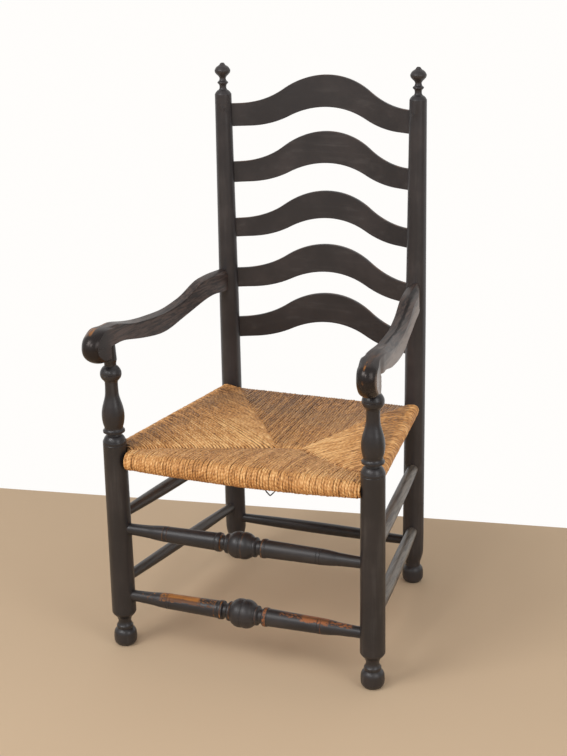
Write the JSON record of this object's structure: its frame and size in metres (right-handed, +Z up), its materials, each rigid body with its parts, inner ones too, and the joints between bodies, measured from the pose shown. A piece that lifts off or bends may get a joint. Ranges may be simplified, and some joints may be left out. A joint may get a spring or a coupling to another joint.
{
  "type": "ladder-back armchair",
  "caption": "Tall ladder-back great chair with turned posts, bowed slats, shaped arms with turned-down grips and a woven rush seat, for sitting in.",
  "frame": {"origin": "on the floor, midway across the chair's overall width and depth", "axes": "+Z up, the chair faces -Y, +X to the right of someone who looks at its front"},
  "size_m": [0.6098, 0.6381, 1.18],
  "materials": {
    "painted_wood": "old black paint, satin, worn through to brown at the grips and edges",
    "rail_wood": "bare riven wood, hidden in the rush",
    "rush": "twisted rush, golden brown, dry"
  },
  "bodies": {
    "root": {"rear_post_left": "painted_wood", "rear_post_right": "painted_wood", "front_post_left": "painted_wood", "front_post_right": "painted_wood", "slat_1": "painted_wood", "slat_2": "painted_wood", "slat_3": "painted_wood", "slat_4": "painted_wood", "slat_5": "painted_wood", "arm_left": "painted_wood", "arm_right": "painted_wood", "front_stretcher_upper": "painted_wood", "front_stretcher_lower": "painted_wood", "rear_stretcher": "painted_wood", "side_stretcher_left_upper": "painted_wood", "side_stretcher_left_lower": "painted_wood", "side_stretcher_right_upper": "painted_wood", "side_stretcher_right_lower": "painted_wood", "seat_rail_front": "rail_wood", "seat_rail_rear": "rail_wood", "seat_rail_left": "rail_wood", "seat_rail_right": "rail_wood", "slat_peg_left": "painted_wood", "slat_peg_right": "painted_wood", "rush_seat": "rush"}
  },
  "joints": []
}
